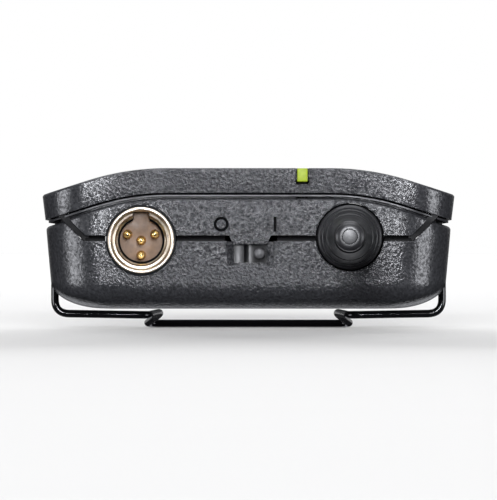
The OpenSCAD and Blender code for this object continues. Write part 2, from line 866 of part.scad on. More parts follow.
function clip_path() =
    let (h = clip_half())
    concat(h, [for (i = [len(h) - 2:-1:0]) [-h[i][0], h[i][1], h[i][2]]]);

// Frames that turn as little as possible along a path
function tangent(p, i) = unit(p[min(i + 1, len(p) - 1)] - p[max(i - 1, 0)]);
function carried(v, t) = unit(v - t * (v * t));
function normals(p, i = 0, out = []) =
    i == len(p) ? out
    : normals(p, i + 1, concat(out, [carried(i == 0 ? [0, 0, 1] : out[i - 1], tangent(p, i))]));

module wire(p, r, sides = 12) {
    n = normals(p);
    points = [for (i = [0:len(p) - 1]) let (t = tangent(p, i), m = cross(t, n[i]))
                 for (j = [0:sides - 1]) let (a = 360 * j / sides) p[i] + r * (n[i] * cos(a) + m * sin(a))];
    last = (len(p) - 1) * sides;
    faces = concat([[for (j = [0:sides - 1]) j]],
                   [for (i = [0:len(p) - 2], j = [0:sides - 1]) let (k = (j + 1) % sides)
                       [i * sides + j, (i + 1) * sides + j, (i + 1) * sides + k, i * sides + k]],
                   [[for (j = [0:sides - 1]) last + sides - 1 - j]]);
    polyhedron(points, faces);
}

module belt_clip() color("#0c0c0d") place() {
    wire(clip_path(), wire_d / 2);
    both_sides() rod_x(clip_y, clip_pivot_h, stub_r, 27.5, 29.2);
}

// ---------- fixings and label ----------

module housing_screws() color("#2d2d2f") place() at_screws() {
    difference() {
        union() {
            translate([0, 0, 0.15]) cylinder(h = 1.1, r1 = 2.2, r2 = 1.1);
            rod_z(0, 0, 0.78, 1, 9);
        }
        for (a = [0, 90]) rotate([0, 0, a]) translate([-1.1, -0.22, -0.2]) cube([2.2, 0.44, 0.95]);
    }
}

module rear_label() color("#b6b7b8") place() {
    box([-label_half, label_half], label_y, [0.15, label_recess]);
}

rear_housing();
mid_frame();
end_panel();
front_bezel();
led_lens();
status_led();
main_board();
rf_shield();
socket_shell();
socket_insert();
socket_pins();
socket_nut();
socket_bezel();
antenna_jacket();
antenna_wire();
antenna_base();
switch_body();
switch_slider();
battery_tray();
cell_left();
cell_right();
contact_springs();
contact_plates();
contact_bridge();
control_panel();
display_module();
display_window();
gain_pot();
gain_knob();
tact_switches();
group_button();
channel_button();
battery_door();
door_pad();
door_hinge_pin();
latch_left();
latch_right();
belt_clip();
housing_screws();
board_screws();
rear_label();
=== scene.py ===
"""Looks for the wireless bodypack transmitter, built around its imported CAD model.

Shapes are written in millimetres in the case's own frame, as in the CAD: X across, Y from the socket
end (0) to the hinge end, Z up from the back (0). put() turns them into metres in the row frame.
"""
import math

import bmesh
import bpy
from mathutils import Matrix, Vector


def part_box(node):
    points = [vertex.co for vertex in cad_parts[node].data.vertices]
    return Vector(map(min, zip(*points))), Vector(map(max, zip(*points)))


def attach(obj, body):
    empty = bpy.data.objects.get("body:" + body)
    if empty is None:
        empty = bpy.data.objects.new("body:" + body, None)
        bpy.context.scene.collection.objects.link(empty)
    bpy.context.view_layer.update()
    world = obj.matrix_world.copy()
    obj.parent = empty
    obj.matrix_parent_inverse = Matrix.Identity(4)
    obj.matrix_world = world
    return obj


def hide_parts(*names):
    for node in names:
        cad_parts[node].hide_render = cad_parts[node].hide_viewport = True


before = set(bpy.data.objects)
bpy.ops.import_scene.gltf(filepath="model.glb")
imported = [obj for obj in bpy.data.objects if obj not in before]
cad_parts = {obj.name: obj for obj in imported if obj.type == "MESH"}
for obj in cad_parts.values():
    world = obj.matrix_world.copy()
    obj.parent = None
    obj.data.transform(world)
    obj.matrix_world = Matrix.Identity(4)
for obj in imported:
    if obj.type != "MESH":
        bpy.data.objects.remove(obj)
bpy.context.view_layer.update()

# ---------------------------------------------------------------- sizes, in millimetres

MM = 0.001
COVER_LOW, COVER_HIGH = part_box("front_bezel")
DOOR_LOW, DOOR_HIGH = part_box("battery_door")
HOUSING_LOW, HOUSING_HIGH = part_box("rear_housing")
ORIGIN = Vector((0, COVER_LOW.y, HOUSING_LOW.z))

CASE_LEN = (DOOR_HIGH.y - COVER_LOW.y) / MM
CROWN_H = (COVER_HIGH.z - HOUSING_LOW.z) / MM
HALF_COVER = (COVER_HIGH.x - COVER_LOW.x) / 2 / MM
COVER_END = (COVER_HIGH.y - COVER_LOW.y) / MM
DOOR_START = (DOOR_LOW.y - COVER_LOW.y) / MM
HALF_HOUSING = (HOUSING_HIGH.x - HOUSING_LOW.x) / 2 / MM
FACE_INSET = (HOUSING_LOW.y - COVER_LOW.y) / MM

CROWN_FLAT = 12.6
CROWN_R = 40.0
CROWN_FALL = math.radians(17.6)
CORNER_R = 6.6
JOINT_R = 0.3       # corners where the cover and the door meet
COVER_T = 3.85
COVER_DRAFT = 0.45
ROLL_H = 4.4
ROLL_SIDE = 8.5
ROLL_END = 5.0
SHOULDER_OFF = 4.9
SHOULDER_H = 12.9
FIRST_TUCK = 0.16   # share of the roll over which the corner's radius shrinks fastest
SIDE_DRAFT = math.radians(4.65)
END_DRAFT = 0.3
HOUSING_R = 8.0
RIM_EDGE = 0.45
PANEL_OFF = 4.65
COVER_EDGE = 0.35
SKIN = 0.02         # how far a rounded form stays inside the CAD solid that it trims
FORM_FOOT = 6.0     # foot of a cover's form, lower than any cover
LEAST_R = 0.05      # radius that stands for a square corner
INWARD = (0, 1, 0)  # from the socket end into the case


def put(x, y, z):
    """A point of the case's frame, in millimetres, as a point of the row frame, in metres."""
    return ORIGIN + Vector((x, y, z)) * MM


def crown(x, off=0.0):
    """Height of the cover's crowned top over the back, at a distance below it."""
    r = CROWN_R - off
    ax = abs(x)
    if ax <= CROWN_FLAT:
        return CROWN_H - off
    x1 = CROWN_FLAT + r * math.sin(CROWN_FALL)
    if ax <= x1:
        return CROWN_H - CROWN_R + math.sqrt(r * r - (ax - CROWN_FLAT) ** 2)
    return CROWN_H - CROWN_R + r * math.cos(CROWN_FALL) - math.tan(CROWN_FALL) * (ax - x1)


# ---------------------------------------------------------------- mesh tools

def finish_mesh(bm, name, sharp=32.0):
    """Mesh with smooth faces whose edges stay sharp past an angle."""
    bmesh.ops.recalc_face_normals(bm, faces=bm.faces[:])
    limit = math.radians(sharp)
    for f in bm.faces:
        f.smooth = True
    for e in bm.edges:
        e.smooth = len(e.link_faces) == 2 and e.calc_face_angle(0.0) < limit
    mesh = bpy.data.meshes.new(name)
    bm.to_mesh(mesh)
    bm.free()
    return mesh


def add_object(name, mesh):
    obj = bpy.data.objects.new(name, mesh)
    bpy.context.scene.collection.objects.link(obj)
    return obj


def dress(obj, material, body, slot, *nodes):
    """Gives a piece its material and its body, and hides the CAD nodes that it stands for; slot is not used.
    """
    obj.data.materials.clear()
    obj.data.materials.append(material)
    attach(obj, body)
    if nodes:
        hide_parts(*nodes)


def half_outline(w, y_dir, y, r, steps, mids):
    """One end of a rounded outline, left to right. y_dir is 1 at the near end and -1 at the far one."""
    xm = mids[-1]
    start = w - r
    arc = steps if start - xm < 0.5 else steps // 2
    right = [(xm + (start - xm) * (i + 1) / (steps - arc), y) for i in range(steps - arc)]
    for i in range(1, arc + 1):
        a = math.pi / 2 * i / arc
        right.append((start + r * math.sin(a), y + y_dir * r * (1 - math.cos(a))))
    return [(-x, v) for x, v in reversed(right)] + [(x, y) for x in mids] + right


def crown_stations(limit):
    """Stations across the width: few on the flat, close together on the curved shoulders."""
    bend = CROWN_R * math.sin(CROWN_FALL)
    right = [CROWN_FLAT + bend * i / 12 for i in range(13)] + [limit]
    left = [-x for x in reversed(right)]
    return left + [-6.3, 0.0, 6.3] + right


def ring_points(w, y0, y1, r0, r1, height, steps=16):
    """Closed ring of points; height is a number or a function of x."""
    limit = w - max(r0, r1)
    scale = limit / (HALF_COVER - CORNER_R)
    mids = [x * min(scale, 1.0) for x in crown_stations(HALF_COVER - CORNER_R)]
    if scale > 1.0:
        mids[0], mids[-1] = -limit, limit
    near = half_outline(w, 1, y0, r0, steps, mids)
    far = half_outline(w, -1, y1, r1, steps, mids)
    z = height if callable(height) else (lambda x: height)
    return [(x, y, z(x)) for x, y in near + far[::-1]]


def loft(name, rings, sharp=32.0):
    """Closed solid through rings of the same count, with both ends filled station by station."""
    bm = bmesh.new()
    rows = [[bm.verts.new(put(*p)) for p in ring] for ring in rings]
    count = len(rows[0])
    for a, b in zip(rows, rows[1:]):
        for i in range(count):
            j = (i + 1) % count
            bm.faces.new((a[i], a[j], b[j], b[i]))
    half = count // 2
    for row, flip in ((rows[0], True), (rows[-1], False)):
        for i in range(half - 1):
            quad = [row[i], row[i + 1], row[count - 2 - i], row[count - 1 - i]]
            bm.faces.new(quad[::-1] if flip else quad)
    return add_object(name, finish_mesh(bm, name, sharp))


def lathe(name, profile, centre, axis, steps=72, sharp=32.0):
    """Solid of revolution; profile gives (radius, distance along the axis)."""
    bm = bmesh.new()
    axis = Vector(axis).normalized()
    side = axis.orthogonal().normalized()
    other = axis.cross(side)
    c = put(*centre)
    rows = []
    for r, d in profile:
        if r < 1e-6:
            rows.append([bm.verts.new(c + axis * d * MM)])
            continue
        row = []
        for k in range(steps):
            a = 2 * math.pi * k / steps
            row.append(bm.verts.new(c + (axis * d + (side * math.cos(a) + other * math.sin(a)) * r) * MM))
        rows.append(row)
    for a, b in zip(rows, rows[1:]):
        for k in range(steps):
            j = (k + 1) % steps
            quad = [a[k % len(a)], a[j % len(a)], b[j % len(b)], b[k % len(b)]]
            bm.faces.new(list(dict.fromkeys(quad)))
    return add_object(name, finish_mesh(bm, name, sharp))


def sweep(name, path, radius, sides=20):
    """Round wire along a path, carried without twist; the ends are flat."""
    bm = bmesh.new()
    normal = Vector((0, 0, 1))
    rows = []
    for i, p in enumerate(path):
        t = (path[min(i + 1, len(path) - 1)] - path[max(i - 1, 0)]).normalized()
        normal = (normal - t * normal.dot(t)).normalized()
        other = t.cross(normal)
        rows.append([bm.verts.new(put(*(p + radius * (normal * math.cos(a) + other * math.sin(a)))))
                     for a in (2 * math.pi * k / sides for k in range(sides))])
    for a, b in zip(rows, rows[1:]):
        for k in range(sides):
            j = (k + 1) % sides
            bm.faces.new((a[k], a[j], b[j], b[k]))
    bm.faces.new(rows[0][::-1])
    bm.faces.new(rows[-1])
    return add_object(name, finish_mesh(bm, name, 50))


def prism(name, points, axis, low, high, bevel=0.0, segments=3):
    """Straight solid: an outline of (a, b) points drawn along an axis of the case's frame."""
    place = {"x": lambda a, b, t: put(t, a, b),
             "y": lambda a, b, t: put(a, t, b),
             "z": lambda a, b, t: put(a, b, t)}[axis]
    bm = bmesh.new()
    base = [bm.verts.new(place(a, b, low)) for a, b in points]
    top = [bm.verts.new(place(a, b, high)) for a, b in points]
    n = len(points)
    for i in range(n):
        j = (i + 1) % n
        bm.faces.new((base[i], base[j], top[j], top[i]))
    bm.faces.new(base[::-1])
    bm.faces.new(top)
    if bevel:
        bmesh.ops.recalc_face_normals(bm, faces=bm.faces[:])
        edges = [e for e in bm.edges if e.calc_face_angle(0.0) > math.radians(25)]
        bmesh.ops.bevel(bm, geom=edges, offset=bevel * MM, segments=segments, profile=0.5, affect="EDGES")
    return add_object(name, finish_mesh(bm, name))


def rectangle(a0, a1, b0, b1):
    """Outline of a prism with four corners."""
    return [(a0, b0), (a1, b0), (a1, b1), (a0, b1)]


def washer(name, centre, r0, r1, y0, y1, steps=72):
    """Flat ring around an axis that runs into the case."""
    return lathe(name, rectangle(r0, r1, y0, y1) + [(r0, y0)], centre, INWARD, steps)


def arc(cx, cy, r, a0, a1, steps):
    """Points of an arc, angles in degrees, for the profiles of lathed pieces."""
    return [(cx + r * math.cos(math.radians(a0 + (a1 - a0) * k / steps)),
             cy + r * math.sin(math.radians(a0 + (a1 - a0) * k / steps))) for k in range(steps + 1)]


def combined(name, base, others, operation, sharp=32.0):
    """New object: base with each other solid united, cut away or kept in common. The inputs go away."""
    for other in others:
        mod = base.modifiers.new("combine", "BOOLEAN")
        mod.operation = operation
        mod.solver = "EXACT"
        mod.object = other
    result = bpy.data.meshes.new_from_object(base.evaluated_get(bpy.context.evaluated_depsgraph_get()))
    for other in [base, *others]:
        bpy.data.objects.remove(other)
    bm = bmesh.new()
    bm.from_mesh(result)
    bmesh.ops.remove_doubles(bm, verts=bm.verts[:], dist=0.004 * MM)
    bmesh.ops.dissolve_degenerate(bm, dist=0.002 * MM, edges=bm.edges[:])
    return add_object(name, finish_mesh(bm, name, sharp))


def cad_copy(node):
    """A plain copy of a CAD node's mesh, welded, for trimming."""
    bm = bmesh.new()
    bm.from_mesh(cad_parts[node].data)
    bmesh.ops.remove_doubles(bm, verts=bm.verts[:], dist=0.0005 * MM)
    bmesh.ops.dissolve_limit(bm, angle_limit=math.radians(0.5), verts=bm.verts[:], edges=bm.edges[:])
    return add_object("copy_" + node, finish_mesh(bm, "copy_" + node))


# ---------------------------------------------------------------- materials

def new_material(name, color, roughness, metallic=0.0, **sockets):
    """Principled material; sockets are further inputs of the shader, with _ for each space."""
    mat = bpy.data.materials.new(name)
    mat.use_nodes = True
    shader = mat.node_tree.nodes["Principled BSDF"]
    shader.inputs["Base Color"].default_value = (*color, 1)
    shader.inputs["Roughness"].default_value = roughness
    shader.inputs["Metallic"].default_value = metallic
    for key, value in sockets.items():
        shader.inputs[key.replace("_", " ")].default_value = value
    return mat, mat.node_tree, shader


def position(tree):
    """Place in the piece's own space, which is the row frame."""
    return tree.nodes.new("ShaderNodeTexCoord").outputs["Object"]


def noise(tree, per_mm, detail=2.0, roughness=0.5, distortion=0.0):
    node = tree.nodes.new("ShaderNodeTexNoise")
    node.inputs["Scale"].default_value = per_mm / MM
    node.inputs["Detail"].default_value = detail
    node.inputs["Roughness"].default_value = roughness
    node.inputs["Distortion"].default_value = distortion
    tree.links.new(position(tree), node.inputs["Vector"])
    return node.outputs["Fac"]


def remap(tree, value, low, high, out_low, out_high):
    node = tree.nodes.new("ShaderNodeMapRange")
    for key, v in (("From Min", low), ("From Max", high), ("To Min", out_low), ("To Max", out_high)):
        node.inputs[key].default_value = v
    tree.links.new(value, node.inputs["Value"])
    return node.outputs["Result"]


def two_colors(tree, factor, color_a, color_b):
    node = tree.nodes.new("ShaderNodeMix")
    node.data_type = "RGBA"
    node.inputs[6].default_value = (*color_a, 1)
    node.inputs[7].default_value = (*color_b, 1)
    tree.links.new(factor, node.inputs[0])
    return node.outputs[2]


def bump(tree, height, depth_mm, strength=1.0, normal=None):
    node = tree.nodes.new("ShaderNodeBump")
    node.inputs["Distance"].default_value = depth_mm * MM
    node.inputs["Strength"].default_value = strength
    tree.links.new(height, node.inputs["Height"])
    if normal is not None:
        tree.links.new(normal, node.inputs["Normal"])
    return node.outputs["Normal"]


def soft_edges(tree, radius_mm):
    node = tree.nodes.new("ShaderNodeBevel")
    node.samples = 6
    node.inputs["Radius"].default_value = radius_mm * MM
    return node.outputs["Normal"]


def vary_color(tree, shader, factor, color, spread):
    """Base colour that drifts by a share of itself, darker and lighter, along a noise."""
    darker = tuple(c * (1 - spread) for c in color)
    lighter = tuple(min(c * (1 + spread), 1.0) for c in color)
    tree.links.new(two_colors(tree, remap(tree, factor, 0.3, 0.7, 0, 1), darker, lighter),
                   shader.inputs["Base Color"])


def vary_roughness(tree, shader, factor, low, high):
    """Roughness that drifts between two values along a noise."""
    tree.links.new(remap(tree, factor, 0.3, 0.7, low, high), shader.inputs["Roughness"])


def grain_fade(tree):
    """1 on the case's faces, less on its rounded sides, where the mould's grain is finer."""
    split = tree.nodes.new("ShaderNodeSeparateXYZ")
    tree.links.new(position(tree), split.inputs["Vector"])
    size = tree.nodes.new("ShaderNodeMath")
    size.operation = "ABSOLUTE"
    tree.links.new(split.outputs["X"], size.inputs[0])
    return remap(tree, size.outputs["Value"], 0.0165, 0.0265, 1.0, 0.2)


def grained_plastic(name, color, grain=0.24, roughness=(0.22, 0.27), edge=0.18, fade=True):
    """Black moulded plastic with a spark-eroded grain, a little lighter on the grain's tops: painted
    highlight on the tops and painted shade in the hollows.
    """
    mat, tree, shader = new_material(name, color, 0.5)
    fine = noise(tree, 2.3, 2.5, 0.6)
    coarse = noise(tree, 0.16, 2.0)
    # Colour and specular level both follow the grain's height: painted shade in its hollows and painted
    # highlight on its tops.
    vary_color(tree, shader, fine, color, 0.4)
    vary_roughness(tree, shader, coarse, *roughness)
    tree.links.new(remap(tree, fine, 0.34, 0.66, 0.17, 0.85), shader.inputs["Specular IOR Level"])
    grain_normal = bump(tree, fine, grain, 1.0, soft_edges(tree, edge))
    if fade:
        tree.links.new(grain_fade(tree), grain_normal.node.inputs["Strength"])
    tree.links.new(grain_normal, shader.inputs["Normal"])
    return mat


def smooth_plastic(name, color, roughness=0.35, edge=0.1, ripple=0.004, **sockets):
    """Moulded plastic with a faint unevenness."""
    mat, tree, shader = new_material(name, color, roughness, **sockets)
    wave = noise(tree, 0.5, 2.0)
    vary_color(tree, shader, noise(tree, 1.4, 3.0, 0.6), color, 0.15)
    vary_roughness(tree, shader, wave, roughness * 0.8, roughness * 1.2)
    tree.links.new(bump(tree, wave, ripple, 1.0, soft_edges(tree, edge)), shader.inputs["Normal"])
    return mat


def metal(name, color, roughness=0.2, edge=0.06, scratch=0.002):
    """Plated metal with fine turning marks."""
    mat, tree, shader = new_material(name, color, roughness, 1.0)
    fine = noise(tree, 4.0, 3.0, 0.6)
    vary_color(tree, shader, noise(tree, 0.8, 3.0, 0.6), color, 0.06)
    vary_roughness(tree, shader, fine, roughness * 0.7, roughness * 1.4)
    tree.links.new(bump(tree, fine, scratch, 1.0, soft_edges(tree, edge)), shader.inputs["Normal"])
    return mat


def dull_black(name, color, roughness):
    """Deep black that stands in for the shade in joints and gaps: hardly any sheen, and a faint dusting."""
    mat, tree, shader = new_material(name, color, roughness, Specular_IOR_Level=0.06)
    dust = noise(tree, 1.8, 3.0, 0.6)
    vary_color(tree, shader, dust, color, 0.4)
    vary_roughness(tree, shader, dust, roughness * 0.85, roughness * 1.15)
    return mat


def display_glass(name, color, roughness):
    """Unlit display: fine rows of cells under a clear window with a faint cloudiness."""
    mat, tree, shader = new_material(name, color, roughness)
    rows = tree.nodes.new("ShaderNodeTexWave")
    rows.bands_direction = "Y"
    rows.inputs["Scale"].default_value = 0.9 / MM
    rows.inputs["Distortion"].default_value = 0.0
    tree.links.new(position(tree), rows.inputs["Vector"])
    vary_color(tree, shader, rows.outputs["Fac"], color, 0.07)
    vary_roughness(tree, shader, noise(tree, 0.3, 2.0), roughness * 0.7, roughness * 1.5)
    return mat


def glowing(name, color, strength):
    """Coloured plastic that gives a little light of its own."""
    mat, tree, shader = new_material(name, color, 0.42, Specular_IOR_Level=0.25)
    vary_color(tree, shader, noise(tree, 2.0, 2.0), color, 0.12)
    shader.inputs["Emission Color"].default_value = (*color, 1)
    shader.inputs["Emission Strength"].default_value = strength
    return mat


case_mat = grained_plastic("grained_black", (0.028, 0.0285, 0.031))
frame_mat = smooth_plastic("frame_black", (0.035, 0.035, 0.038), 0.36)
inner_mat = smooth_plastic("inner_black", (0.03, 0.03, 0.033), 0.5)
gloss_mat = smooth_plastic("gloss_black", (0.012, 0.012, 0.013), 0.14, 0.05, 0.001)
slide_mat = smooth_plastic("slide_black", (0.014, 0.014, 0.015), 0.36, 0.05, 0.001)
# The nub's base colour is lighter than the slider's, though both are one plastic: painted light on the nub.
nub_lit_mat = smooth_plastic("nub_painted_light", (0.1, 0.1, 0.103), 0.42, 0.05, 0.001)
latch_mat = smooth_plastic("latch_black", (0.022, 0.022, 0.024), 0.4)
# Black of the socket's bezel and the light pipe's sleeve; on the seam's lips and gaskets the same near black
# is painted shade in the groove.
bezel_and_shade_mat = smooth_plastic("bezel_black_and_painted_shade", (0.004, 0.004, 0.0045), 0.55, Specular_IOR_Level=0.2)
rubber_mat = smooth_plastic("rubber_black", (0.011, 0.011, 0.012), 0.36, 0.06, 0.003,
                            Specular_IOR_Level=0.38)
nickel_mat = metal("warm_nickel", (0.56, 0.49, 0.40), 0.34)
steel_mat = metal("tinned_steel", (0.66, 0.66, 0.65), 0.28)
gold_mat = metal("gold_plate", (0.95, 0.70, 0.30), 0.18)
insert_mat = smooth_plastic("insert_brown", (0.215, 0.135, 0.082), 0.5)
wire_mat = smooth_plastic("wire_gloss", (0.008, 0.008, 0.009), 0.12, 0.02, 0.0006)
screw_mat = metal("black_oxide", (0.05, 0.05, 0.053), 0.35)
label_mat = metal("label_foil", (0.6, 0.61, 0.62), 0.4)
green_mat = glowing("light_green", (0.22, 0.285, 0.012), 0.34)
board_mat = smooth_plastic("board_green", (0.02, 0.13, 0.055), 0.3)
knob_mat = smooth_plastic("knob_white", (0.75, 0.74, 0.70), 0.4)
button_mat = smooth_plastic("button_grey", (0.27, 0.27, 0.29), 0.45)
pot_mat = smooth_plastic("pot_blue", (0.05, 0.13, 0.36), 0.4)
# Painted shade: near black for the seam's groove, the gap under the cover, the engraved marks and the gaps
# round the socket's insert and the antenna's boot.
shade_black_mat = dull_black("painted_shade_black", (0.003, 0.003, 0.0034), 0.75)
foam_mat = grained_plastic("foam_grey", (0.05, 0.05, 0.052), 0.15, (0.8, 0.95), 0.3, False)
cell_mat = smooth_plastic("cell_sleeve", (0.045, 0.06, 0.095), 0.3, 0.1, 0.001)
glass_mat = display_glass("display_glass", (0.42, 0.48, 0.40), 0.1)

# ---------------------------------------------------------------- case

def housing_form(shoulder):
    """Outer form of the rear housing: rolled lower edge all round, drafted sides, crowned rim."""
    rings = []
    w = HALF_HOUSING - (SHOULDER_H - ROLL_H) * math.tan(SIDE_DRAFT)
    for k in range(19):
        t = math.pi / 2 * k / 18
        z = ROLL_H * (1 - math.cos(t)) + SKIN
        tuck = 1 - math.sin(t)
        r = HOUSING_R - 2.0 * min(1.0, tuck / FIRST_TUCK) - 3.0 * max(0.0, tuck - FIRST_TUCK)
        y0 = FACE_INSET + END_DRAFT + ROLL_END * tuck
        rings.append(ring_points(w - ROLL_SIDE * tuck - SKIN, y0 + SKIN, CASE_LEN - y0 - SKIN, r, r, z))
    w = HALF_HOUSING - SKIN
    y0 = FACE_INSET + SKIN
    y1 = CASE_LEN - FACE_INSET - SKIN
    r = HOUSING_R
    rings.append(ring_points(w - 0.05, y0, y1, r, r, SHOULDER_H - 1.6))
    for k in range(5):
        a = math.pi / 2 * k / 4
        i = RIM_EDGE * (1 - math.cos(a))
        drop = RIM_EDGE * (1 - math.sin(a)) + shoulder + SKIN
        rings.append(ring_points(w - i, y0 + i, y1 - i, r - i, r - i, lambda x, d=drop: crown(x, d)))
    return loft("form", rings)


def cover_form(y0, y1, r0, r1):
    """Outer form of a piece of the front: crowned top, soft upper edge, drafted sides."""
    rings = []
    w, y0, y1 = HALF_COVER - SKIN, y0 + SKIN, y1 - SKIN
    for k in range(7):
        a = math.pi / 2 * k / 6
        i = COVER_EDGE * (1 - math.sin(a))
        drop = COVER_EDGE * (1 - math.cos(a)) + SKIN
        rings.append(ring_points(w - i, y0 + i, y1 - i, max(r0 - i, LEAST_R), max(r1 - i, LEAST_R),
                                 lambda x, d=drop: crown(x, d)))
    i = COVER_DRAFT
    y0 += i * (r0 > 1)
    y1 -= i * (r1 > 1)
    for height in (lambda x: crown(x, COVER_T), FORM_FOOT):
        rings.append(ring_points(w - i, y0, y1, max(r0 - i, LEAST_R), max(r1 - i, LEAST_R), height))
    return loft("form", rings[::-1])


def trimmed(name, node, form, body):
    """The CAD node's solid with the rounded outside of a form, in grained plastic."""
    piece = combined(name, cad_copy(node), [form], "INTERSECT")
    dress(piece, case_mat, body, "case_plastic", node)


trimmed("housing_shell", "rear_housing", housing_form(SHOULDER_OFF), "case")
trimmed("socket_end_panel", "end_panel", housing_form(PANEL_OFF), "case")
trimmed("cover_front", "front_bezel", cover_form(0, COVER_END, CORNER_R, JOINT_R), "case")
trimmed("cover_door", "battery_door", cover_form(DOOR_START, CASE_LEN, JOINT_R, CORNER_R), "door")


def refine(node, material, width=0.1, segments=2):
    """Rounds a CAD node's edges and gives it its material."""
    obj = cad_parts[node]
    obj.data.materials.clear()
    obj.data.materials.append(material)
    weld = obj.modifiers.new("weld", "WELD")
    weld.merge_threshold = 0.0005 * MM
    flat = obj.modifiers.new("flat", "DECIMATE")
    flat.decimate_type = "DISSOLVE"
    flat.angle_limit = math.radians(0.5)
    soft = obj.modifiers.new("soft", "BEVEL")
    soft.width = width * MM
    soft.segments = segments
    soft.limit_method = "ANGLE"
    soft.angle_limit = math.radians(35)
    soft.harden_normals = True
    for polygon in obj.data.polygons:
        polygon.use_smooth = True


refine("mid_frame", frame_mat, 0.06)
for node, material in {
    "status_led": knob_mat, "main_board": board_mat, "rf_shield": steel_mat, "socket_nut": nickel_mat,
    "socket_bezel": bezel_and_shade_mat, "antenna_wire": gold_mat, "antenna_base": steel_mat,
    "switch_body": inner_mat, "battery_tray": inner_mat, "contact_plates": steel_mat,
    "contact_bridge": steel_mat, "control_panel": inner_mat, "display_module": gloss_mat,
    "display_window": glass_mat, "gain_pot": pot_mat, "gain_knob": knob_mat, "tact_switches": inner_mat,
    "group_button": button_mat, "channel_button": button_mat, "door_hinge_pin": steel_mat,
    "latch_left": latch_mat, "latch_right": latch_mat, "housing_screws": screw_mat,
    "board_screws": steel_mat, "rear_label": label_mat,
}.items():
    refine(node, material, 0.08)

# ---------------------------------------------------------------- seams of the socket end

SEAM_H = 11.3
LIP_Y = FACE_INSET + 0.75
LIP_X = 25.1


def groove_lip(name, x0, x1):
    """Strip behind the level part of the seam; its bevelled edge catches a fine line of light."""
    section = [(LIP_Y, SEAM_H - 1.1), (LIP_Y + 0.3, SEAM_H - 0.38), (LIP_Y + 0.9, SEAM_H - 0.38),
               (LIP_Y + 0.9, SEAM_H - 1.1)]
    return prism(name, section, "x", x0, x1, 0.06)


GROOVE_SPANS = ((-LIP_X, -22.1), (-11.0, -3.6), (4.4, 10.3), (20.95, LIP_X))
# Lips and the strips behind them are near black: painted shade in the seam's groove. The lips' bevelled
# edges still catch a fine line of real light.
for i, (x0, x1) in enumerate(GROOVE_SPANS):
    dress(groove_lip(f"groove_lip_{i + 1}", x0, x1), bezel_and_shade_mat, "case", "inner_plastic")
    back = prism(f"groove_shade_{i + 1}", rectangle(x0, x1, SEAM_H - 1.0, SEAM_H + 0.2), "y", 2.45, 2.75)
    dress(back, shade_black_mat, "case", "inner_plastic")

# Gasket of each sloping stretch of the seam, set back in the groove; its near black is painted shade in the
# groove
for name, side in (("groove_gasket_shade_left", -1), ("groove_gasket_shade_right", 1)):
    outline = [(side * (LIP_X - 0.5), SEAM_H - 0.95), (side * (LIP_X + 0.15), SEAM_H - 0.95),
               (side * 29.35, 14.35), (side * 28.6, 15.0), (side * (LIP_X - 0.5), SEAM_H + 0.1)]
    dress(prism(name, outline, "y", 2.1, 2.7), bezel_and_shade_mat, "case", "inner_plastic")

# Rib under the front cover, behind the fine gap over the frame's lip; its near black is painted shade in the
# gap
rib_x = [-25 + 50 * i / 60 for i in range(61)]
rib_outline = [(x, crown(x, 4.13)) for x in rib_x] + [(x, crown(x, 3.6)) for x in reversed(rib_x)]
dress(prism("cover_rib_shade", rib_outline, "y", 2.3, 2.9), shade_black_mat, "case", "case_plastic")

# Generic marks for off and on: near-black pieces in the panel's engraving, painted shade of its recess
MARK_Z = 13.05
MARK_Y = FACE_INSET + 0.12
MARK_BACK = MARK_Y + 0.16
MARK_HALF = 1.13
mark_ring = washer("mark_ring", (-4.2, 0, MARK_Z), 0.75, MARK_HALF, MARK_Y, MARK_BACK, 48)
mark_bar = prism("mark_bar", rectangle(3.91, 4.29, MARK_Z - MARK_HALF, MARK_Z + MARK_HALF), "y",
                 MARK_Y, MARK_BACK)
for mark in (mark_ring, mark_bar):
    dress(mark, shade_black_mat, "case", "case_plastic")

# ---------------------------------------------------------------- light pipe

LENS_LEFT = 7.5
LENS_RIGHT = 9.1
lens_outline = rectangle(LENS_LEFT, LENS_RIGHT, CROWN_H - 2.1, CROWN_H - 0.04)
lens = prism("light_pipe_lens", lens_outline, "y", 0.06, 6.0, 0.16, 4)
dress(lens, green_mat, "case", "light_pipe", "led_lens")
sleeve_outline = rectangle(LENS_LEFT, LENS_RIGHT, 6.6, CROWN_H - 2.2)
sleeve = prism("light_pipe_sleeve", sleeve_outline, "y", 3.3, 5.8, 0.15, 2)
dress(sleeve, bezel_and_shade_mat, "case", "light_pipe", "led_lens")

# ---------------------------------------------------------------- microphone socket

SOCKET = (-16.55, 0.0, 10.57)
KEY_HALF = 1.3


def key_block(name, y0, y1, low, high, half):
    """Block for the socket's key or its slot, above the socket's axis."""
    x, z = SOCKET[0], SOCKET[2]
    return prism(name, rectangle(x - half, x + half, z + low, z + high), "y", y0, y1, 0.05, 1)


SHELL_BACK = 14.0
INSERT_Y = 7.32

# Tube and flange in the case, the rounded rim, then the throat inwards with its two steps
shell_profile = (
    [(3.62, SHELL_BACK), (4.6, SHELL_BACK), (4.6, 3.4), (4.95, 3.4), (4.95, 0.56), (5.12, 0.5)]
    + arc(5.0, 0.24, 0.12, 0, -80, 5) + [(4.85, 0.08), (4.68, 0.13), (4.6, 0.24), (4.45, 1.4)]
    + [(4.36, 1.62), (4.02, 1.68), (3.95, 1.8), (3.9, 4.9), (3.78, 5.12), (3.7, 5.15)]
    + arc(3.72, 5.25, 0.1, 270, 180, 4) + [(3.62, SHELL_BACK)])
socket = lathe("socket_ring", shell_profile, SOCKET, INWARD, 96, 40)
slot = key_block("slot", 0.75, 16, 2.6, 4.4, KEY_HALF)
socket = combined("socket_ring", socket, [slot], "DIFFERENCE", 40)
dress(socket, nickel_mat, "case", "nickel_shell", "socket_shell")

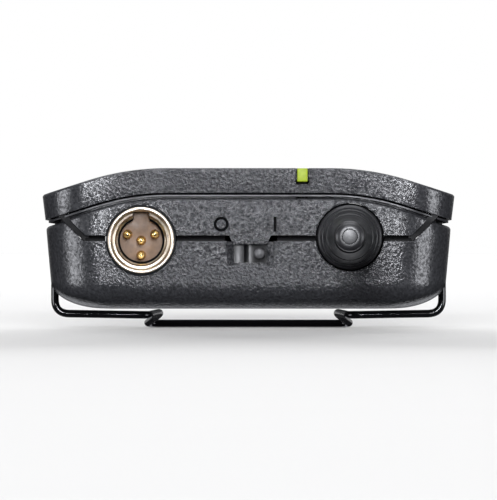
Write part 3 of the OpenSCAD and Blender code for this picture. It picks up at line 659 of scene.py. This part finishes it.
insert_profile = ([(0, SHELL_BACK), (3.56, SHELL_BACK)] + arc(3.38, 7.5, 0.18, 0, -90, 4)
                  + [(0, INSERT_Y)])
insert = lathe("socket_core", insert_profile, SOCKET, INWARD, 72, 40)
key = key_block("key", INSERT_Y, SHELL_BACK, 2.2, 4.25, KEY_HALF - 0.1)
insert = combined("socket_core", insert, [key], "UNION", 40)
dress(insert, insert_mat, "case", "insert_plastic", "socket_insert")

# Near-black ring at the edge of the socket's insert: painted shade where the insert meets the shell.
socket_shade_ring = washer("socket_edge_shade", SOCKET, 3.28, 3.58, 5.3, 5.7)
slot = key_block("slot", 5, 6, 2.2, 4.4, KEY_HALF)
socket_shade_ring = combined("socket_edge_shade", socket_shade_ring, [slot], "DIFFERENCE", 40)
dress(socket_shade_ring, shade_black_mat, "case", "insert_plastic")

CONTACT_R = 0.6
CONTACT_CIRCLE = 2.3
contact_profile = ([(0, 16.4), (CONTACT_R, 16.4), (CONTACT_R, 7.5), (0.74, 7.42), (0.74, 7.2), (0.64, 7.08),
                    (CONTACT_R, 6.95)] + arc(0, 3.45, CONTACT_R, 0, -90, 8))
contact_places = [(0.0, 0.0)] + [(CONTACT_CIRCLE * math.cos(math.radians(a)),
                                  CONTACT_CIRCLE * math.sin(math.radians(a))) for a in (-90, 24, 156)]
for i, (dx, dz) in enumerate(contact_places):
    place = (SOCKET[0] + dx, 0, SOCKET[2] + dz)
    pin = lathe(f"socket_contact_{i + 1}", contact_profile, place, INWARD, 32, 40)
    dress(pin, gold_mat, "case", "gold_contact", "socket_pins")

# ---------------------------------------------------------------- antenna

ANTENNA = (15.6, 0.0, 11.05)
LEAN = math.radians(0.45)
OUTWARD = (-math.sin(LEAN), -math.cos(LEAN), 0)
BOOT_R = 4.95
WHIP_R = 2.25
ANTENNA_OUT = 80.0


def boot_curve():
    """Concave flare of the boot, with two fine steps in it."""
    points = []
    for k in range(25):
        t = k / 24
        r = WHIP_R + 0.25 + (BOOT_R - WHIP_R - 0.65) * (1 - t) ** 1.8
        points.append((r, 3 + 19 * t))
        if k in (2, 7):
            points += [(r - 0.1, 3.06 + 19 * t), (r - 0.13, 3.3 + 19 * t)]
    return points


def whip_tip():
    """Rounded edge of the whip's tip, and its flat end with a fine groove round it."""
    end = ANTENNA_OUT
    edge = [(WHIP_R - 0.15 - 0.9 * k / 8, end - 0.06 - 0.36 * (1 - k / 8) ** 2.5) for k in range(9)]
    groove = [(1.19, end - 0.08), (1.17, end - 0.32), (1.1, end - 0.32), (1.08, end - 0.04)]
    return edge + groove + [(0.9, end - 0.01), (0, end)]


# Bores for the wire and the foot, then the boot's outside and the whip's
jacket_profile = (
    [(0, 76.0), (0.8, 76.0), (0.8, 6.05), (2.2, 6.05), (2.2, -2.4), (BOOT_R, -2.4)]
    + arc(BOOT_R - 0.4, 1.75, 0.4, 0, 90, 6) + [(BOOT_R - 0.46, 2.2)] + boot_curve()
    + [(WHIP_R, 22.3), (WHIP_R - 0.1, ANTENNA_OUT - 0.75)] + whip_tip())
# Near-black ring in the gap round the antenna's boot: painted shade in the gap.
boot_gap_shade = washer("antenna_gap_shade", ANTENNA, 4.9, 5.22, 2.0, 2.38)
dress(boot_gap_shade, shade_black_mat, "case", "antenna_rubber")
jacket = lathe("antenna_whip", jacket_profile, ANTENNA, OUTWARD, 96, 38)
dress(jacket, rubber_mat, "case", "antenna_rubber", "antenna_jacket")

# ---------------------------------------------------------------- power switch

SWITCH_X = 1.7
SWITCH_Z = 8.55


def slider_outline():
    """Slider's section in X and Y: a low swell on the left, and a hollow that the nub stands in."""
    left, right, back = SWITCH_X - 4.3, SWITCH_X + 4.4, 3.92
    swell_x = [-2.5 + 1.8 * k / 8 for k in range(9)]
    swell = [(x, 3.02 - 0.1 * math.cos((x + 1.6) * math.pi / 1.8)) for x in swell_x]
    hollow = [(-0.62, 3.25), (-0.5, 3.55), (-0.2, 3.78), (0.2, 3.82), (1.0, 3.68), (2.0, 3.4), (2.8, 3.1)]
    return [(left, back), (left, 3.1)] + swell + hollow + [(right, 3.1), (right, back)]


slider = prism("switch_slide", slider_outline(), "z", 6.85, 10.15)
nub_profile = ([(0, 5.1), (0.6, 5.1), (0.6, 3.35), (0.85, 3.35)] + arc(0, 1.72, 0.85, 0, -90, 10))
nub = lathe("switch_nub", nub_profile, (SWITCH_X, 0, SWITCH_Z), INWARD, 40, 40)
dress(slider, slide_mat, "slider", "slider_plastic", "switch_slider")
dress(nub, nub_lit_mat, "slider", "slider_plastic", "switch_slider")

# ---------------------------------------------------------------- batteries and springs

CELL_X = 7.6
CELL_Z = 9.75
CELL_R = 7.25
CELL_LEN = 50.5
CELL_Y = 49.2
sleeve_profile = ([(6.1, 1.35), (6.9, 1.25)] + arc(6.95, 1.55, 0.3, -90, 0, 4) + [(CELL_R, 1.9)]
                  + [(CELL_R, CELL_LEN - 0.5)] + arc(6.95, CELL_LEN - 0.35, 0.3, 0, 90, 4)
                  + [(6.2, CELL_LEN - 0.12), (6.1, CELL_LEN - 0.3), (6.1, 1.35)])
can_profile = ([(0, 0), (2.3, 0)] + arc(2.4, 0.2, 0.2, -90, 0, 3) + [(2.62, 1.15), (3.2, 1.2), (6.05, 1.4),
               (6.05, CELL_LEN - 0.25), (3.4, CELL_LEN - 0.2), (3.1, CELL_LEN - 0.02), (0, CELL_LEN)])
for name, side in (("cell_left", -1), ("cell_right", 1)):
    start = (side * CELL_X, CELL_Y + (2.2 + CELL_LEN if side < 0 else 0), CELL_Z)
    wrap = lathe(name + "_sleeve", sleeve_profile, start, (0, side, 0), 64, 35)
    can = lathe(name + "_can", can_profile, start, (0, side, 0), 64, 35)
    dress(wrap, cell_mat, "case", "cell_wrap", name)
    dress(can, steel_mat, "case", "tinned_steel", name)


def coil(x, y0, direction, length):
    """Centre line of a conical spring, wide at its plate."""
    turns = 2
    points = []
    for k in range(turns * 24 + 1):
        t = k / (turns * 24)
        a = 2 * math.pi * turns * t
        r = 4.6 - 2.2 * t
        points.append(Vector((x + r * math.cos(a), y0 + direction * length * t, CELL_Z + r * math.sin(a))))
    return points


SPRING_NEAR = coil(-CELL_X, CELL_Y + 0.25, 1, 1.55)
SPRING_FAR = coil(CELL_X, CELL_Y + CELL_LEN + 1.95, -1, 1.65)
for name, line in (("spring_near", SPRING_NEAR), ("spring_far", SPRING_FAR)):
    dress(sweep(name, line, 0.25, 10), steel_mat, "case", "tinned_steel", "contact_springs")

# ---------------------------------------------------------------- foam pad in the door

PAD_HALF = 12
PAD_START = 62
PAD_END = 90
PAD_LOW = 17.4
PAD_HIGH = 19.88


def pad_height(x, y):
    """Underside of the pad: pulled up a little along its cut edges."""
    edge = min(PAD_HALF - abs(x), y - PAD_START, PAD_END - y)
    return PAD_LOW + 0.5 * math.exp(-max(edge, 0.0) / 0.9)


def stations(start, end, count):
    """Places from start to end, closer together near both ends."""
    return [start + (end - start) * (0.5 - 0.5 * math.cos(math.pi * i / count)) for i in range(count + 1)]


def foam_pad():
    """Foam block with a soft underside and a flat top."""
    bm = bmesh.new()
    nx, ny = 30, 36
    xs = stations(-PAD_HALF, PAD_HALF, nx)
    ys = stations(PAD_START, PAD_END, ny)
    low = [[bm.verts.new(put(x, y, pad_height(x, y))) for y in ys] for x in xs]
    high = [[bm.verts.new(put(x, y, PAD_HIGH)) for y in ys] for x in xs]
    for i in range(nx):
        for j in range(ny):
            bm.faces.new((low[i][j], low[i][j + 1], low[i + 1][j + 1], low[i + 1][j]))
            bm.faces.new((high[i][j], high[i + 1][j], high[i + 1][j + 1], high[i][j + 1]))
    for i in range(nx):
        bm.faces.new((low[i][0], low[i + 1][0], high[i + 1][0], high[i][0]))
        bm.faces.new((low[i + 1][ny], low[i][ny], high[i][ny], high[i + 1][ny]))
    for j in range(ny):
        bm.faces.new((low[0][j + 1], low[0][j], high[0][j], high[0][j + 1]))
        bm.faces.new((low[nx][j], low[nx][j + 1], high[nx][j + 1], high[nx][j]))
    return add_object("door_foam", finish_mesh(bm, "door_foam", 50))


pad = foam_pad()
dress(pad, foam_mat, "door", "foam", "door_pad")

# ---------------------------------------------------------------- belt clip

CLIP_Y = 22.0
CLIP_PIVOT = 4.6
WIRE_R = 0.6


def clip_path():
    """Centre line of the clip's wire, from one pivot stub round the loop to the other."""
    far = CLIP_Y + 66.0
    corners = [Vector(c) for c in (
        (27.5, CLIP_Y, CLIP_PIVOT), (30.1, CLIP_Y, CLIP_PIVOT), (30.1, CLIP_Y, -0.78), (15.5, CLIP_Y, -1.02),
        (13.6, CLIP_Y + 36.3, -0.7), (16.3, far, -2.7), (0, far, -2.7))]
    bends = (0, 0.9, 2.2, 1.6, 14, 2, 0)
    half = [corners[0]]
    for i in range(1, len(corners) - 1):
        p, r = corners[i], bends[i]
        a = (corners[i - 1] - p).normalized()
        b = (corners[i + 1] - p).normalized()
        half += [p + a * r * (1 - t) ** 2 + b * r * t ** 2 for t in (k / 10 for k in range(11))]
    half.append(corners[-1])
    return half + [Vector((-p.x, p.y, p.z)) for p in half[-2::-1]]


clip = sweep("clip_wire_loop", clip_path(), WIRE_R)
dress(clip, wire_mat, "clip", "clip_wire", "belt_clip")

# ---------------------------------------------------------------- stage, light and camera

def area_light(name, location, target, size, radiance, color=(1, 1, 1)):
    """Softbox of a given brightness, which leaves the floor out."""
    data = bpy.data.lights.new(name, "AREA")
    data.shape = "RECTANGLE"
    data.size, data.size_y = size
    data.energy = radiance * math.pi * size[0] * size[1]
    data.color = color
    obj = bpy.data.objects.new(name, data)
    bpy.context.scene.collection.objects.link(obj)
    obj.location = location
    obj.rotation_euler = (Vector(target) - Vector(location)).to_track_quat("-Z", "Y").to_euler()
    obj.visible_camera = False
    obj.light_linking.receiver_collection = all_but_floor


def around(azimuth, elevation, distance, z=0.012):
    """Place at an azimuth from the camera's side, in degrees, to the right, and an elevation."""
    a, e = math.radians(azimuth), math.radians(elevation)
    flat = distance * math.cos(e)
    return (flat * math.sin(a), -flat * math.cos(a), z + distance * math.sin(e))


def stage_plane(name, corners, material):
    """Flat surface of the stage through its corners."""
    bm = bmesh.new()
    bm.faces.new([bm.verts.new(c) for c in corners])
    mesh = bpy.data.meshes.new(name)
    bm.to_mesh(mesh)
    bm.free()
    obj = add_object(name, mesh)
    obj.data.materials.append(material)
    return obj


FLOOR_GREY = 0.7
FAR_LIT_GREY = 0.76


def floor_material():
    """Matt pale floor, with a faint mottle, and a little lighter with distance: painted light that brightens
    the far floor.
    """
    mat, tree, shader = new_material("floor_white", (FLOOR_GREY,) * 3, 0.9, Specular_IOR_Level=0.0)
    split = tree.nodes.new("ShaderNodeSeparateXYZ")
    tree.links.new(position(tree), split.inputs["Vector"])
    # Painted light: the base colour grows lighter further back, beyond the object.
    away = remap(tree, split.outputs["Y"], 0.2, 3.0, 0, 1)
    mottle = noise(tree, 0.02, 3.0)
    near = two_colors(tree, mottle, (FLOOR_GREY * 0.995,) * 3, (FLOOR_GREY * 1.005,) * 3)
    base = two_colors(tree, away, (FLOOR_GREY,) * 3, (FAR_LIT_GREY,) * 3)
    tree.links.new(near, base.node.inputs[6])
    tree.links.new(base, shader.inputs["Base Color"])
    return mat


floor = stage_plane("floor", [(-8, -4, 0), (8, -4, 0), (8, 40, 0), (-8, 40, 0)], floor_material())
floor.visible_glossy = False
floor.visible_diffuse = False
floor.visible_shadow = False
floor_only = bpy.data.collections.new("floor_only")
floor_only.objects.link(floor)
all_but_floor = bpy.data.collections.new("all_but_floor")
all_but_floor.objects.link(floor)
all_but_floor.collection_objects[0].light_linking.link_state = "EXCLUDE"

# Ambient light that grows towards the sky; seen directly, the background is plain white
world = bpy.data.worlds.new("studio")
bpy.context.scene.world = world
world.use_nodes = True
sky = world.node_tree
background = sky.nodes["Background"]
direction = sky.nodes.new("ShaderNodeSeparateXYZ")
sky.links.new(sky.nodes.new("ShaderNodeTexCoord").outputs["Generated"], direction.inputs["Vector"])
ambient = sky.nodes.new("ShaderNodeValToRGB")
ambient.color_ramp.elements[0].position = 0.44
ambient.color_ramp.elements[0].color = (0.005, 0.005, 0.006, 1)
ambient.color_ramp.elements[1].position = 1.0
ambient.color_ramp.elements[1].color = (0.34, 0.34, 0.35, 1)
sky.links.new(remap(sky, direction.outputs["Z"], -1, 1, 0, 1), ambient.inputs["Fac"])
seen = sky.nodes.new("ShaderNodeLightPath")
mixed = two_colors(sky, seen.outputs["Is Camera Ray"], (1, 1, 1), (1, 1, 1))
sky.links.new(ambient.outputs["Color"], mixed.node.inputs[6])
sky.links.new(mixed, background.inputs["Color"])
background.inputs["Strength"].default_value = 1.0

COOL = (0.965, 0.98, 1.03)
face = (0, -0.015, 0.014)
area_light("front", around(0, 6, 0.36), face, (0.028, 0.058), 168, COOL)
area_light("high", around(0, 30, 1.6), face, (1.0, 0.3), 8, COOL)
area_light("left", around(-62, -2, 1.0), face, (0.5, 0.4), 7.2, COOL)
area_light("right", around(62, -2, 1.0), face, (0.5, 0.4), 7.2, COOL)
area_light("top", (0, -0.15, 1.0), (0, 0, 0), (0.9, 0.9), 4.5, COOL)
area_light("back", around(180, 8, 1.6), face, (2.0, 0.6), 0.25)
area_light("under", around(180, -30, 1.2), face, (1.6, 0.5), 1.0, COOL)


def floor_sun(name, azimuth, elevation, angle, share):
    """Distant light on the floor alone; share is what it adds to the floor's brightness."""
    data = bpy.data.lights.new(name, "SUN")
    data.energy = share * math.pi / FLOOR_GREY / math.sin(math.radians(elevation))
    data.angle = math.radians(angle)
    obj = bpy.data.objects.new(name, data)
    bpy.context.scene.collection.objects.link(obj)
    beam = -Vector(around(azimuth, elevation, 1.0, 0))
    obj.rotation_euler = beam.to_track_quat("-Z", "Y").to_euler()
    obj.light_linking.receiver_collection = floor_only


floor_sun("floor_top", 0, 75, 60, 0.01)
for i, azimuth in enumerate((-8, -4, 0, 4, 8)):
    floor_sun(f"floor_back_{i + 1}", 180 + azimuth, 2.3, 4.4, 0.097)
for i, azimuth in enumerate((-3, 0, 3)):
    floor_sun(f"floor_front_{i + 1}", azimuth, 2.2, 4.2, 0.098)

CAMERA_D = 2.0      # from the socket end, in metres
CAMERA_H = 9.08     # over the back, in millimetres
VIEW_MM = 76.923    # width of the view at the socket end, in millimetres
SENSOR = 36.0
camera_data = bpy.data.cameras.new("camera")
camera_data.sensor_width = SENSOR
camera_data.lens = SENSOR * CAMERA_D / (VIEW_MM * MM)
camera_data.clip_start = 0.05
camera_data.clip_end = 30
camera = bpy.data.objects.new("camera", camera_data)
bpy.context.scene.collection.objects.link(camera)
camera.location = put(0, 0, CAMERA_H) - Vector((0, CAMERA_D, 0))
camera.rotation_euler = (math.pi / 2, 0, 0)
bpy.context.scene.camera = camera
bpy.context.scene.view_settings.view_transform = "Standard"
